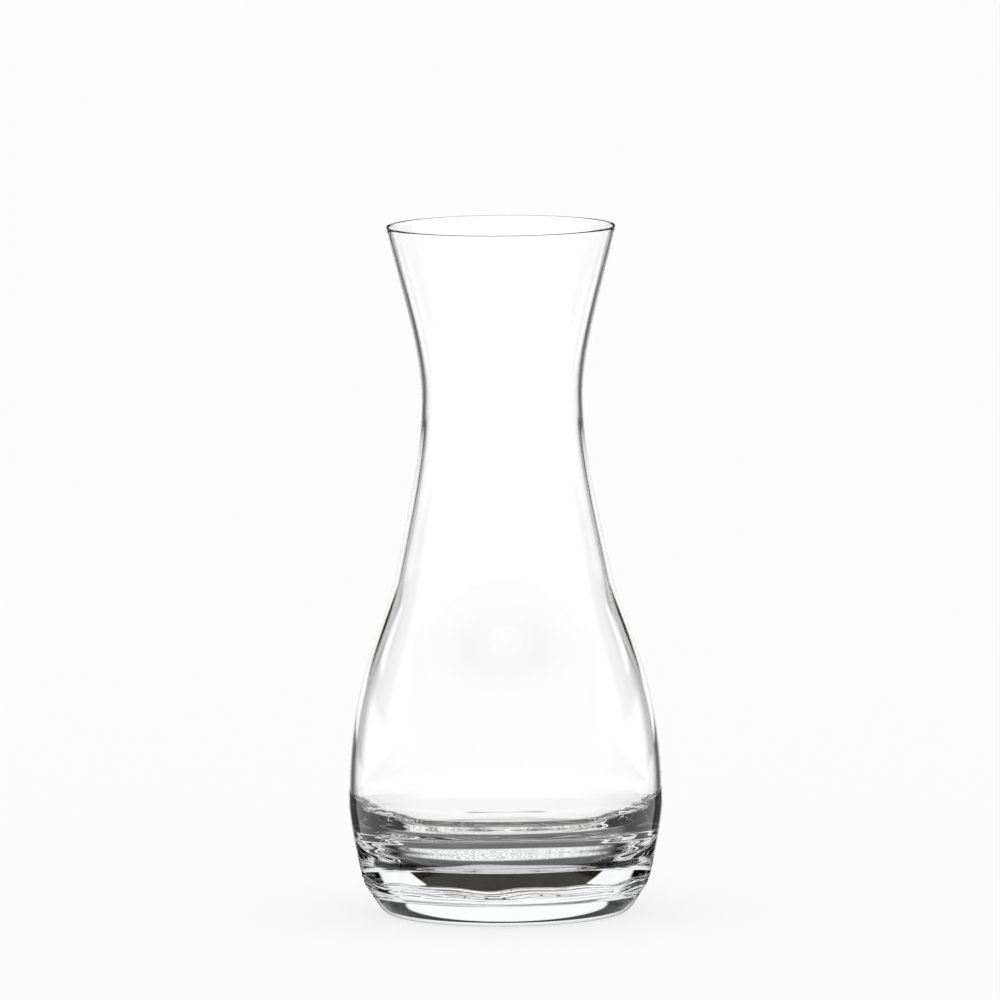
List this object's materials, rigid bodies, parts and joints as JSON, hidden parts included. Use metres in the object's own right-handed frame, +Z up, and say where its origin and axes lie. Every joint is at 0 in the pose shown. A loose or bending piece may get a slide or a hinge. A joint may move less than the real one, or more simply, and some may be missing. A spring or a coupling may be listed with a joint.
{
  "type": "decanter",
  "caption": "Clear crystal decanter, open at the top, with a flared mouth, a narrow waist, a pear-shaped belly and a thick, heavy base.",
  "frame": {"origin": "on the axis, in the plane of the foot ring that the decanter stands on", "axes": "+Z up along the axis, from the foot to the mouth; X and Y are alike, because the shape is round"},
  "size_m": [0.114, 0.114, 0.25],
  "materials": {
    "crystal": "polished"
  },
  "bodies": {
    "root": {"glass_body": "crystal"}
  },
  "joints": []
}
